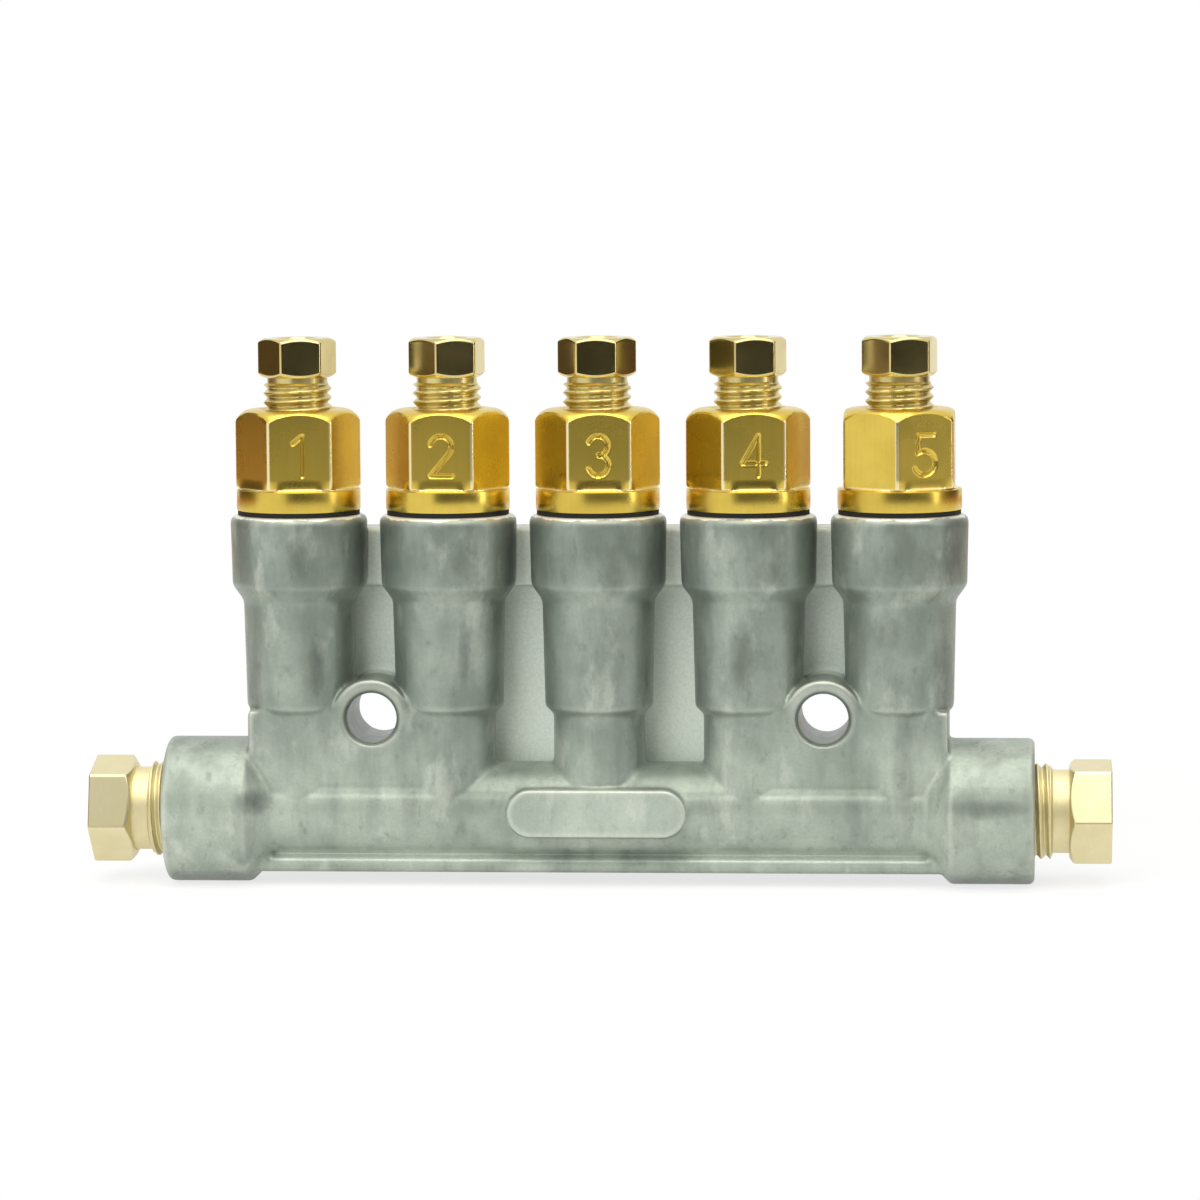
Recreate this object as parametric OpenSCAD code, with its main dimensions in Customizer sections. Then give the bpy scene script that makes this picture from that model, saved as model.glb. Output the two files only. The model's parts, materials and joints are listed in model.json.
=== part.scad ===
// Lubricant divider block: a die-cast manifold that carries a row of screwed-in metering
// valves, each with a compression fitting for an outlet tube, and a supply fitting at each
// end of the gallery. All sizes are in millimetres. The origin lies on the flat back face,
// midway between the two mounting holes. +X runs along the row, -Y faces the front and
// +Z points up, towards the outlets.

/* [Row] */
// Number of outlets in the row
outlets = 5; // [3:1:6]
// Distance from one outlet to the next
pitch = 17.5; // [17:0.5:22]

/* [Casting] */
// Distance from the back face to the axes of the columns and the gallery
axis_depth = 8.3; // [8.2:0.1:8.8]
// Outer diameter of the gallery that runs under the columns
gallery_d = 11.3; // [10.8:0.1:12]
// Bore of the gallery
gallery_bore = 6; // [4:0.5:6.5]
// Diameter of the boss at each end of the gallery
boss_d = 17; // [16.8:0.1:18]
// Length of the straight run of an end boss
boss_straight = 9.7; // [8:0.1:12]
// Height of the cone at the inner end of an end boss
boss_cone = 3.5; // [2.5:0.1:4]
// Radius of the outer edge of an end boss
boss_edge = 0.6; // [0.3:0.1:1.5]
// Distance from the last column's axis to the end face of its boss
end_reach = 15.6; // [14:0.1:20]
// Thickness of the web behind the columns
web_t = 3.5; // [3.2:0.1:5]
// Radius of the web's upper corners
web_round = 2; // [0.5:0.1:3]
// Reach of the web and the gussets past the last column's axis
web_margin = 5.7; // [5.5:0.1:6.2]
// Thickness of the bar along the top of the web
bar_t = 5; // [4:0.1:6]
// Height of the bar
bar_h = 6.9; // [4:0.1:8]
// Distance from the top of the columns down to the bar
bar_drop = 1.9; // [1:0.1:4]
// Distance from the column axes to the flat front of the gussets
gusset_front = 5; // [4:0.1:5.2]
// Height of the gussets above the gallery axis
gusset_top = 12.1; // [11.5:0.1:12.2]
// Distance from the gallery axis to the front of the bottom rail
rail_front = 4; // [3:0.1:5]
// Height of the bottom rail
rail_h = 1.9; // [1.7:0.1:4]
// Distance from the gallery axis down to the underside of the rail
rail_drop = 7; // [6.2:0.1:8]
// Radius of the front edges of the rail
rail_round = 0.8; // [0.3:0.1:0.9]
// Width of the bare pad on the gallery
pad_w = 20.8; // [12:0.1:24]
// Height of the pad
pad_h = 5.6; // [4:0.1:7]
// Distance from the gallery axis to the face of the pad
pad_front = 6.3; // [6.1:0.1:7]
// Height of the pad's middle above the gallery axis
pad_raise = 0.3; // [-1:0.1:1]

/* [Mounting holes] */
// Height of the mounting holes above the gallery axis
hole_height = 11.2; // [10.5:0.1:12]
// Diameter of the mounting holes
hole_d = 5.8; // [4.5:0.1:6]
// Diameter of the countersink at the front of a mounting hole
sink_d = 6.8; // [6.3:0.1:7.2]
// Depth of the countersink
sink_depth = 0.9; // [0.4:0.1:2]
// Wall around the countersink, which bulges out of the top of the gusset
hole_wall = 1.2; // [0.8:0.1:1.5]

/* [Columns] */
// Height of the columns above the gallery axis
column_h = 34.7; // [33.5:0.1:40]
// Diameter of the cup at the top of a column
cup_d = 16; // [15.5:0.1:16.3]
// Height of the cup
cup_h = 8.2; // [6:0.1:9]
// Radius of the cup's upper edge
cup_round = 0.9; // [0.3:0.1:0.9]
// Height of the cone between cup and waist
cup_cone = 1.8; // [1:0.1:3]
// Diameter of the waist below the cup
waist_d = 13.1; // [12.4:0.1:14]
// Height of the waist's lower end above the gallery axis
waist_bottom = 12.3; // [11.8:0.1:14]
// Diameter of the foot that runs into the gallery
foot_d = 10.6; // [10.3:0.1:11]
// Height of the cone between waist and foot
foot_cone = 0.9; // [0.5:0.1:2]
// Draft of the cast columns in degrees
draft = 1.2; // [0.3:0.1:2]

/* [Metering valve] */
// Outer diameter of the thread that holds a valve in its column
valve_thread_d = 11.9; // [11:0.1:12.2]
// Depth of the threaded socket in a column
valve_socket_depth = 8; // [6:0.1:9]
// Diameter of the sleeve below the thread
sleeve_d = 8.5; // [7.8:0.1:9]
// Diameter of the sealing washer
washer_d = 14.2; // [13:0.1:14.2]
// Thickness of the sealing washer
washer_t = 0.5; // [0.3:0.1:1]
// Diameter of the collar
collar_d = 14.4; // [13.8:0.1:15.5]
// Height of the collar
collar_h = 2.3; // [1:0.1:4]
// Width of the valve's hexagon across the flats
valve_hex_af = 12.7; // [12:0.1:14]
// Height of the hexagon
valve_hex_h = 9.5; // [8:0.1:12]
// Diameter of the flat inside the hexagon's top chamfer
valve_chamfer_d = 11; // [9.5:0.1:12]
// Angle of the hexagon's top chamfer
valve_chamfer_angle = 35; // [20:1:45]
// Turn of each valve's hexagon about its axis in degrees
valve_turns = [10, -1, 6, 9, 29]; // [-30:1:30]

/* [Metering parts] */
// Height of the check valve's seat above the gallery axis
seat_h = 12.6; // [12:0.1:13.2]
// Bore from the gallery up to the seat
seat_bore = 4; // [2:0.1:4.2]
// Diameter of the check valve's lip
check_d = 6.1; // [5:0.1:6.2]
// Height of the check valve
check_h = 1.6; // [1.2:0.1:2.2]
// Thickness of the check valve's floor
check_floor = 0.6; // [0.4:0.1:0.8]
// Thickness of the check valve's lip
check_lip = 0.3; // [0.2:0.05:0.5]
// Lift of the check valve
check_lift = 0.8; // [0.4:0.1:1.2]
// Bore of the metering chamber
chamber_d = 6.4; // [6.3:0.05:6.8]
// Stroke of the piston, which sets the dose
stroke = 6; // [2:0.1:7]
// Height of the piston
piston_h = 4; // [3:0.1:5]
// Depth of the spring's recess in the piston
spring_recess = 0.6; // [0.2:0.1:1.5]
// Outer diameter of the riser tube
riser_d = 2.4; // [1.8:0.1:2.6]
// Bore of the riser tube
riser_bore = 1.2; // [0.6:0.1:1.4]
// Diameter of the cross holes at the top of the riser tube
riser_cross = 0.8; // [0.4:0.1:1.2]
// Diameter of the riser tube's foot
riser_foot_d = 3.6; // [3.2:0.1:4.2]
// Thickness of the riser tube's foot
riser_foot_h = 0.4; // [0.3:0.05:0.8]
// Length of the riser tube that is pressed into the valve
riser_grip = 1.3; // [0.8:0.1:1.6]
// Bore of the spring chamber
spring_chamber_d = 5.4; // [5.2:0.1:6]
// Outer diameter of the return spring
spring_d = 5; // [4.4:0.1:5]
// Wire diameter of the return spring
spring_wire = 0.5; // [0.3:0.05:0.6]
// Number of turns of the return spring
spring_turns = 7; // [4:1:8]

/* [Outlet fitting] */
// Width of the outlet nut's hexagon across the flats
nut_af = 8; // [7.6:0.1:9]
// Height of the outlet nut's hexagon
nut_hex_h = 4.3; // [3:0.1:6]
// Gap between the valve and the outlet nut's hexagon
nut_gap = 3.9; // [2.5:0.1:5]
// Diameter of the relief under the outlet nut's hexagon
nut_neck_d = 7; // [6.6:0.1:7.4]
// Length of that relief
nut_neck_len = 0.6; // [0.3:0.1:1.5]
// Outer diameter of the outlet nut's thread
nut_thread_d = 7.9; // [7.5:0.1:8.2]
// Outer diameter of the outlet tube
outlet_tube_d = 4; // [3:0.1:4.2]
// Depth of the threaded socket in a valve
outlet_socket_depth = 9; // [8:0.1:10]
// Depth of the tube's stop below the conical seat
tube_stop_depth = 1.1; // [0.5:0.1:1.5]
// Thickness of the roof between the tube's stop and the spring chamber
roof_t = 1.9; // [1.7:0.1:3]
// Outer diameter of the outlet ferrule
ferrule_d = 5.9; // [5.5:0.1:6.4]
// Length of the outlet ferrule
ferrule_len = 4.2; // [3:0.1:5]
// Turn of each outlet nut about its axis in degrees
nut_turns = [13, 21, 2, 15, 19]; // [-30:1:30]

/* [Inlet fitting] */
// Width of the inlet nut's hexagon across the flats
inlet_af = 11; // [10.5:0.1:13]
// Height of the inlet nut's hexagon
inlet_hex_h = 4.9; // [3:0.1:7]
// Gap between the end boss and the inlet nut's hexagon
inlet_gap = 4; // [2.5:0.1:6]
// Diameter of the relief beside the inlet nut's hexagon
inlet_neck_d = 9.7; // [9:0.1:10.5]
// Length of that relief
inlet_neck_len = 1.9; // [0.5:0.1:3]
// Outer diameter of the inlet nut's thread
inlet_thread_d = 11.1; // [10.8:0.1:12]
// Outer diameter of the supply tube
inlet_tube_d = 6; // [4:0.1:6.4]
// Depth of the threaded socket in an end boss
inlet_socket_depth = 11.5; // [10:0.1:12]
// Outer diameter of the inlet ferrule
inlet_ferrule_d = 8.4; // [8:0.1:9]
// Length of the inlet ferrule
inlet_ferrule_len = 5.5; // [4:0.1:6.5]
// Upward tilt of the left and the right inlet nut's front flat in degrees
inlet_turns = [15, 24]; // [-30:1:30]

/* [Threads and fits] */
// Pitch of the fittings' threads
thread_pitch = 1.06; // [0.75:0.01:1.25]
// Turns from rest until a fitting is tight
tighten_turns = 2; // [1:0.25:2.5]
// Angle of the chamfers on the nuts' hexagons
nut_chamfer_angle = 30; // [15:1:40]
// Distance from a nut's flats in to the edge of its chamfers
nut_chamfer_inset = 0.15; // [0.05:0.05:0.5]
// Radial clearance of a screwed fit
thread_clear = 0.05; // [0.02:0.01:0.1]
// Radial clearance of the piston and the riser tube
running_clear = 0.03; // [0.01:0.01:0.06]
// Radial clearance around a tube
tube_clear = 0.1; // [0.05:0.01:0.2]
// Gap between parts that rest on each other and can move
rest_gap = 0.05; // [0.02:0.01:0.1]
// Gap left above the piston at the end of its stroke
stop_gap = 0.3; // [0.1:0.05:0.5]
// Width of the flat land at the ends of a ferrule
ferrule_land = 0.2; // [0.1:0.05:0.4]

/* [Hidden] */
$fn = 64;
// Cutters and buried ends run this far past the faces that they cross
over = 1;
// Fillets end this far short of tangent, which keeps their edges crisp
crisp = 0.01;
// Bevel at the free end of a thread
thread_bevel = 0.5;

// Places along the row
row_half = (outlets - 1) / 2 * pitch;
end_x = row_half + end_reach;
boss_x = end_x - boss_straight - boss_cone;
web_half = row_half + web_margin;
hole_x = row_half - pitch / 2;

// Heights of the column's parts, from the gallery axis up
cup_bottom = column_h - cup_h;
waist_top = cup_bottom - cup_cone;
bar_top = column_h - bar_drop;

// Heights of the valve's parts, from the top of the column up
valve_r = valve_thread_d / 2;
collar_z = column_h + washer_t;
hex_z = collar_z + collar_h;
valve_top = hex_z + valve_hex_h;
thread_z = column_h - valve_socket_depth;

// Heights inside the valve, from its top down
outlet_socket_r = nut_thread_d / 2 + thread_clear;
outlet_bore_r = outlet_tube_d / 2 + tube_clear;
outlet_socket_floor = valve_top - outlet_socket_depth;
outlet_seat_end = outlet_socket_floor - outlet_socket_r + outlet_bore_r;
tube_stop = outlet_seat_end - tube_stop_depth;
chamber_roof = tube_stop - roof_t;

// Heights of the metering parts, from the check valve's seat up
check_z = seat_h + rest_gap;
riser_z = check_z + check_h + check_lift + rest_gap;
piston_z = riser_z + riser_foot_h + rest_gap;
piston_top = piston_z + piston_h;
chamber_top = piston_top + stroke + stop_gap;
sleeve_z = seat_h + stop_gap;
riser_r = riser_d / 2;
spring_z = piston_top - spring_recess + rest_gap;

// Places of the fittings along their own axes
tighten = tighten_turns * thread_pitch;
outlet_ferrule_end = outlet_bore_r + ferrule_land;
outlet_ferrule_z = outlet_seat_end + ferrule_land + rest_gap + tighten;
nut_z = valve_top + nut_gap;
nut_end = outlet_ferrule_z + ferrule_len - ferrule_d / 2 + outlet_ferrule_end + rest_gap;
inlet_socket_r = inlet_thread_d / 2 + thread_clear;
inlet_bore_r = inlet_tube_d / 2 + tube_clear;
inlet_socket_floor = end_x - inlet_socket_depth;
inlet_seat_end = inlet_socket_floor - inlet_socket_r + gallery_bore / 2;
inlet_ferrule_end = inlet_bore_r + ferrule_land;
inlet_ferrule_x = inlet_seat_end + inlet_ferrule_end - gallery_bore / 2 + rest_gap + tighten;
inlet_nut_x = end_x + inlet_gap;
inlet_nut_end = inlet_ferrule_x + inlet_ferrule_len - inlet_ferrule_d / 2 + inlet_ferrule_end + rest_gap;

cast_metal = [0.72, 0.75, 0.74];
valve_brass = [0.80, 0.62, 0.20];
nut_brass = [0.62, 0.53, 0.28];
inlet_brass = [0.87, 0.80, 0.55];
spring_steel = [0.60, 0.61, 0.63];
black_rubber = [0.08, 0.08, 0.08];

OUTLET_PARTS = ["valve_body", "sealing_washer", "riser_tube", "piston", "return_spring",
    "check_valve", "outlet_ferrule", "outlet_nut"];

function outlet_x(i) = (i - 1) * pitch - row_half;
function turn_of(turns, i) = turns[(i - 1) % len(turns)];

// Puts a shape drawn about the gallery axis into the part's frame
module from_gallery() {
    translate([0, -axis_depth, -hole_height]) children();
}

// Puts a shape drawn about +Z onto one outlet's axis
module at_outlet(i) {
    from_gallery() translate([outlet_x(i), 0, 0]) children();
}

// Puts a shape drawn about +Z onto the gallery axis, pointing out of the end on one side
module at_end(side) {
    from_gallery() rotate([0, 90 * side, 0]) children();
}

// Draws an outline in the XZ plane and gives it depth from y = front to y = back
module upright(front, back) {
    translate([0, back, 0]) rotate([90, 0, 0]) linear_extrude(back - front) children();
}

// What a fillet of radius r takes off the outer corner at [r, r]
module corner_cut(r) {
    difference() {
        square(r + over);
        circle(r + crisp);
    }
}

// Tube from z = low to z = high
module ring(outer_r, inner_r, low, high) {
    translate([0, 0, low]) difference() {
        cylinder(r = outer_r, h = high - low);
        translate([0, 0, -over]) cylinder(r = inner_r, h = high - low + 2 * over);
    }
}

// Round bar or bore from z = low to z = high
module rod(r, low, high) {
    translate([0, 0, low]) cylinder(r = r, h = high - low);
}

// Cone from radius r_low at z = low to radius r_high at z = high
module cone(r_low, low, r_high, high) {
    translate([0, 0, low]) cylinder(r1 = r_low, r2 = r_high, h = high - low);
}

// Hexagonal bar from z = low to z = high with turned chamfers; a flat of diameter low_d
// or high_d stays inside each chamfer, and one flat side faces -Y
module hex_bar(af, low, high, low_d, high_d, angle) {
    corner_r = af / 2 / cos(30);
    rim_r = corner_r + over;
    low_drop = (rim_r - low_d / 2) * tan(angle);
    high_drop = (rim_r - high_d / 2) * tan(angle);
    intersection() {
        translate([0, 0, low]) cylinder(r = corner_r, h = high - low, $fn = 6);
        rotate_extrude() polygon([
            [0, low], [low_d / 2, low], [rim_r, low + low_drop],
            [rim_r, high - high_drop], [high_d / 2, high], [0, high]]);
    }
}

// Half section of a column, from the gallery axis up
module column_section() {
    cup_r = cup_d / 2;
    waist_r = waist_d / 2;
    cup_low_r = cup_r - cup_h * tan(draft);
    waist_low_r = waist_r - (waist_top - waist_bottom) * tan(draft);
    difference() {
        polygon([
            [0, 0], [foot_d / 2, 0], [foot_d / 2, waist_bottom - foot_cone],
            [waist_low_r, waist_bottom], [waist_r, waist_top],
            [cup_low_r, cup_bottom], [cup_r, column_h], [0, column_h]]);
        translate([cup_r - cup_round, column_h - cup_round]) corner_cut(cup_round);
    }
}

// End boss about +Z, with its end face at z = end_x and cut off at the back face
module end_boss() {
    intersection() {
        rotate_extrude() difference() {
            polygon([
                [0, boss_x], [boss_d / 2 - boss_cone, boss_x], [boss_d / 2, boss_x + boss_cone],
                [boss_d / 2, end_x], [0, end_x]]);
            translate([boss_d / 2 - boss_edge, end_x - boss_edge]) corner_cut(boss_edge);
        }
        translate([-boss_d, axis_depth - 2 * boss_d, 0]) cube([2 * boss_d, 2 * boss_d, end_x + over]);
    }
}

// Outline of the web from height low up to the top of the bar
module web_outline(low) {
    difference() {
        translate([-web_half, low]) square([2 * web_half, bar_top - low]);
        for (side = [0, 1]) mirror([side, 0])
            translate([web_half - web_round, bar_top - web_round]) corner_cut(web_round);
    }
}

module web() {
    upright(axis_depth - web_t, axis_depth) web_outline(-rail_drop);
    upright(axis_depth - bar_t, axis_depth) web_outline(bar_top - bar_h);
}

// Solid corner between the gallery and the last two columns, with the mounting hole's eye
module gusset() {
    inner_x = row_half - pitch;
    upright(-gusset_front, axis_depth) {
        translate([inner_x, 0]) square([web_half - inner_x, gusset_top]);
        translate([hole_x, hole_height]) circle(sink_d / 2 + hole_wall);
    }
}

// Mounting hole about +Z, which points to the front, from the back face at z = 0
module mounting_hole() {
    front = axis_depth + gusset_front;
    widening = (sink_d - hole_d) / 2 / sink_depth;
    rod(hole_d / 2, -over, front);
    cone(hole_d / 2, front - sink_depth, sink_d / 2 + over * widening, front + over);
}

// Rail under the gallery, drawn as a section in Y and Z
module rail() {
    rotate([90, 0, 90]) translate([0, 0, -web_half]) linear_extrude(2 * web_half) difference() {
        translate([-rail_front, -rail_drop]) square([rail_front + axis_depth, rail_h]);
        translate([rail_round - rail_front, rail_h - rail_drop - rail_round]) mirror([1, 0])
            corner_cut(rail_round);
        translate([rail_round - rail_front, rail_round - rail_drop]) rotate(180) corner_cut(rail_round);
    }
}

// Bare pad with round ends on the front of the gallery
module pad() {
    end_r = pad_h / 2;
    upright(-pad_front, 0) translate([0, pad_raise]) difference() {
        square([pad_w, pad_h], center = true);
        for (side = [0, 1]) mirror([side, 0]) for (up = [0, 1]) mirror([0, up])
            translate([pad_w / 2 - end_r, 0]) corner_cut(end_r);
    }
}

// Everything that is bored out of one column for its valve
module column_bores() {
    rod(seat_bore / 2, 0, seat_h + over);
    rod(sleeve_d / 2 + thread_clear, seat_h, thread_z + over);
    rod(valve_r + thread_clear, thread_z, column_h + over);
}

// Threaded socket with a conical seat that runs into the gallery bore
module inlet_socket() {
    rod(inlet_socket_r, inlet_socket_floor, end_x + over);
    cone(gallery_bore / 2, inlet_seat_end, inlet_socket_r, inlet_socket_floor);
    rod(gallery_bore / 2, 0, inlet_socket_floor);
}

module block() {
    color(cast_metal) difference() {
        union() {
            for (i = [1 : outlets]) at_outlet(i) rotate_extrude() column_section();
            at_end(1) rod(gallery_d / 2, -end_x + boss_straight, end_x - boss_straight);
            for (side = [-1, 1]) at_end(side) end_boss();
            from_gallery() {
                web();
                rail();
                pad();
                gusset();
                mirror([1, 0, 0]) gusset();
            }
        }
        for (i = [1 : outlets]) at_outlet(i) column_bores();
        for (side = [-1, 1]) at_end(side) inlet_socket();
        for (side = [-1, 1]) translate([side * hole_x, 0, 0]) rotate([90, 0, 0]) mounting_hole();
    }
}

module valve_body(i) {
    color(valve_brass) at_outlet(i) difference() {
        union() {
            rod(sleeve_d / 2, sleeve_z, thread_z + over);
            cone(valve_r - thread_bevel, thread_z + stop_gap, valve_r, thread_z + stop_gap + thread_bevel);
            rod(valve_r, thread_z + stop_gap + thread_bevel, collar_z + over);
            rod(collar_d / 2, collar_z, hex_z);
            rotate(turn_of(valve_turns, i)) hex_bar(valve_hex_af, hex_z - crisp, valve_top,
                collar_d + over, valve_chamfer_d, valve_chamfer_angle);
        }
        rod(chamber_d / 2, sleeve_z - over, chamber_top);
        rod(spring_chamber_d / 2, chamber_top - over, chamber_roof);
        rod(riser_r + running_clear, chamber_roof - over, tube_stop + over);
        rod(outlet_bore_r, tube_stop, outlet_seat_end + crisp);
        cone(outlet_bore_r, outlet_seat_end, outlet_socket_r, outlet_socket_floor);
        rod(outlet_socket_r, outlet_socket_floor, valve_top + over);
    }
}

module sealing_washer(i) {
    color(black_rubber) at_outlet(i)
        ring(washer_d / 2, valve_r + tube_clear, column_h, collar_z);
}

// Tube that carries the oil up through the piston, with a foot that traps the piston
// and two cross holes at the top that open into the spring chamber
module riser_tube(i) {
    top = chamber_roof + riser_grip;
    color(valve_brass) at_outlet(i) difference() {
        union() {
            rod(riser_r, riser_z, top);
            rod(riser_foot_d / 2, riser_z, riser_z + riser_foot_h);
        }
        rod(riser_bore / 2, riser_z - over, top + over);
        translate([0, 0, chamber_roof - riser_cross]) rotate([0, 90, 0])
            rod(riser_cross / 2, -riser_d, riser_d);
    }
}

module piston(i) {
    color(nut_brass) at_outlet(i) difference() {
        rod(chamber_d / 2 - running_clear, piston_z, piston_top);
        rod(riser_r + running_clear, piston_z - over, piston_top + over);
        rod(spring_d / 2 + tube_clear, piston_top - spring_recess, piston_top + over);
    }
}

// Points of the spring: wire_sides around the wire, at rings_per_turn places on each turn
wire_sides = 6;
rings_per_turn = 12;
spring_rings = spring_turns * rings_per_turn;
spring_len = chamber_roof - rest_gap - spring_z;
// Height of the wire's middle after some turns: the first and last turns lie closed
function wire_z(turn) =
    turn < 1 ? spring_wire * (0.5 + turn)
    : turn > spring_turns - 1 ? spring_len - spring_wire * (0.5 + spring_turns - turn)
    : 1.5 * spring_wire + (turn - 1) / (spring_turns - 2) * (spring_len - 3 * spring_wire);
function wire_point(ring, side) =
    let (around = 360 * ring / rings_per_turn,
         across = 360 * side / wire_sides,
         r = (spring_d - spring_wire) / 2 + spring_wire / 2 * cos(across))
    [r * cos(around), r * sin(around),
     wire_z(ring / rings_per_turn) + spring_wire / 2 * sin(across)];

module return_spring(i) {
    points = [for (ring = [0 : spring_rings]) for (side = [0 : wire_sides - 1]) wire_point(ring, side)];
    walls = [for (ring = [0 : spring_rings - 1]) for (side = [0 : wire_sides - 1])
        let (next = (side + 1) % wire_sides, a = ring * wire_sides, b = a + wire_sides)
        [a + side, b + side, b + next, a + next]];
    start = [for (side = [0 : wire_sides - 1]) side];
    end = [for (side = [wire_sides - 1 : -1 : 0]) spring_rings * wire_sides + side];
    color(spring_steel) at_outlet(i) translate([0, 0, spring_z])
        polyhedron(points, concat(walls, [start, end]));
}

// Rubber cup: its flat bottom closes the gallery, its lip lets oil pass upwards only, and
// its middle post closes the riser tube when the line is under pressure
module check_valve(i) {
    lip_r = check_d / 2;
    base_r = (seat_bore / 2 + lip_r) / 2;
    post_r = (riser_bore + riser_foot_d) / 4;
    lip_z = check_h - check_lip;
    color(black_rubber) at_outlet(i) translate([0, 0, check_z]) rotate_extrude() polygon([
        [0, 0], [base_r, 0], [lip_r, lip_z], [lip_r - check_lip, lip_z],
        [base_r - check_lip, check_floor], [post_r, check_floor], [post_r, check_h], [0, check_h]]);
}

// Sleeve with a bevel at both ends, from z = 0 up
module ferrule(outer_d, end_r, bore_r, length) {
    bevel = outer_d / 2 - end_r;
    difference() {
        union() {
            cone(end_r, 0, outer_d / 2, bevel);
            rod(outer_d / 2, bevel, length - bevel);
            cone(outer_d / 2, length - bevel, end_r, length);
        }
        rod(bore_r, -over, length + over);
    }
}

// Screwed nut about +Z: a hexagon above z = 0, then a relief, then the thread that ends at
// z = -length in a conical mouth for the ferrule
module fitting_nut(af, hex_h, neck_d, neck_len, thread_d, length, bore_r, mouth_r, turn) {
    chamfer_d = af - 2 * nut_chamfer_inset;
    difference() {
        union() {
            rotate(turn) hex_bar(af, 0, hex_h, chamfer_d, chamfer_d, nut_chamfer_angle);
            rod(neck_d / 2, -neck_len - over, over);
            rod(thread_d / 2, thread_bevel - length, -neck_len);
            cone(thread_d / 2 - thread_bevel, -length, thread_d / 2, thread_bevel - length);
        }
        rod(bore_r, -length - over, hex_h + over);
        cone(mouth_r, -length, bore_r, mouth_r - bore_r - length);
    }
}

module outlet_ferrule(i) {
    color(valve_brass) at_outlet(i) translate([0, 0, outlet_ferrule_z])
        ferrule(ferrule_d, outlet_ferrule_end, outlet_bore_r, ferrule_len);
}

module outlet_nut(i) {
    color(nut_brass) at_outlet(i) translate([0, 0, nut_z]) fitting_nut(
        nut_af, nut_hex_h, nut_neck_d, nut_neck_len, nut_thread_d, nut_z - nut_end,
        outlet_bore_r, ferrule_d / 2, turn_of(nut_turns, i));
}

module inlet_ferrule(side) {
    color(valve_brass) at_end(side) translate([0, 0, inlet_ferrule_x])
        ferrule(inlet_ferrule_d, inlet_ferrule_end, inlet_bore_r, inlet_ferrule_len);
}

module inlet_nut(side) {
    color(inlet_brass) at_end(side) translate([0, 0, inlet_nut_x]) fitting_nut(
        inlet_af, inlet_hex_h, inlet_neck_d, inlet_neck_len, inlet_thread_d,
        inlet_nut_x - inlet_nut_end, inlet_bore_r, inlet_ferrule_d / 2,
        -side * inlet_turns[(side + 1) / 2]);
}

block();
inlet_ferrule(-1);  // inlet_ferrule_left
inlet_nut(-1);  // inlet_nut_left
inlet_ferrule(1);  // inlet_ferrule_right
inlet_nut(1);  // inlet_nut_right
for (i = [1 : outlets]) {
    valve_body(i);
    sealing_washer(i);
    riser_tube(i);
    piston(i);
    return_spring(i);
    check_valve(i);
    outlet_ferrule(i);
    outlet_nut(i);
}
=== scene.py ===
# %% [markdown]
# # A lubricant divider block
# A divider block shares oil between the bearings of a machine. A die-cast manifold carries a row of brass
# metering valves, and a compression nut on each valve grips the tube that leads away. This lesson dresses
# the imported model: the solids fix every place and size, and each cell adds what the eye looks for.

# %% Load the frame
import json
import math

import bmesh
import bpy
import numpy as np
from mathutils import Matrix, Quaternion, Vector


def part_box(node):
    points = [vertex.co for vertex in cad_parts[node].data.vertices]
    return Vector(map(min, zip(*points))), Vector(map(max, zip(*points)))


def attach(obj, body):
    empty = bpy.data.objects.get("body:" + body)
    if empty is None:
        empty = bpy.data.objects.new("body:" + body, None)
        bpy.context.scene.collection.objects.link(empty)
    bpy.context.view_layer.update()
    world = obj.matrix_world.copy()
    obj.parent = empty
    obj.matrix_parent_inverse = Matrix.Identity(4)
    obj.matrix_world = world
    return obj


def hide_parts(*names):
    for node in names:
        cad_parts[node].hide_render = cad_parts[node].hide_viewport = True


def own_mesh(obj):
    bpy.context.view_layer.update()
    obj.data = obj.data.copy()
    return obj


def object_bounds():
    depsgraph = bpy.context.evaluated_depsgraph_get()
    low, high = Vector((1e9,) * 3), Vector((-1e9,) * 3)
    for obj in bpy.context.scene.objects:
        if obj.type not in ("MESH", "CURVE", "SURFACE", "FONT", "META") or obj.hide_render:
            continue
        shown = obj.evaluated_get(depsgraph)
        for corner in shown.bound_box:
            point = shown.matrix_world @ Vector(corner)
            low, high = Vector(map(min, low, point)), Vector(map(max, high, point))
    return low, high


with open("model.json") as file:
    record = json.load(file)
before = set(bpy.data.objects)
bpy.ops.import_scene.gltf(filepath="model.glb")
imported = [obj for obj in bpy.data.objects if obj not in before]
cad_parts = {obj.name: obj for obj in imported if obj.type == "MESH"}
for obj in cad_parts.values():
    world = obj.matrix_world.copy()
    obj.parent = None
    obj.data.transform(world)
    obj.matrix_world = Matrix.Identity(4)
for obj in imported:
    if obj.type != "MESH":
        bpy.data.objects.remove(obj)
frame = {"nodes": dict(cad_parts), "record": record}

MM = 0.001
cad_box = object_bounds()
scene = bpy.context.scene
scene.view_settings.view_transform = "Standard"
mounts = {mount["name"]: mount for mount in frame["record"]["mounts"]}
outlet_numbers = range(1, 6)
print("CAD box in mm:", [[round(value / MM, 1) for value in corner] for corner in cad_box])

# %% [markdown]
# ## Where things are
# The outlets stand on one row of axes and the supply line runs across under them. Both come from the
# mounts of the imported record, so no place is typed in twice. Heights in this script count from the
# gallery axis, as a maker would dimension the casting.

# %% Axes
gallery = Vector(mounts["inlet_right"]["pos_m"])
gallery.x = 0
outlet_x = {i: mounts[f"outlet_{i}"]["pos_m"][0] for i in outlet_numbers}


def on_outlet(i):
    """Moves a shape drawn about +Z above the gallery axis onto one outlet."""
    return Matrix.Translation((outlet_x[i], gallery.y, gallery.z))


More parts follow.
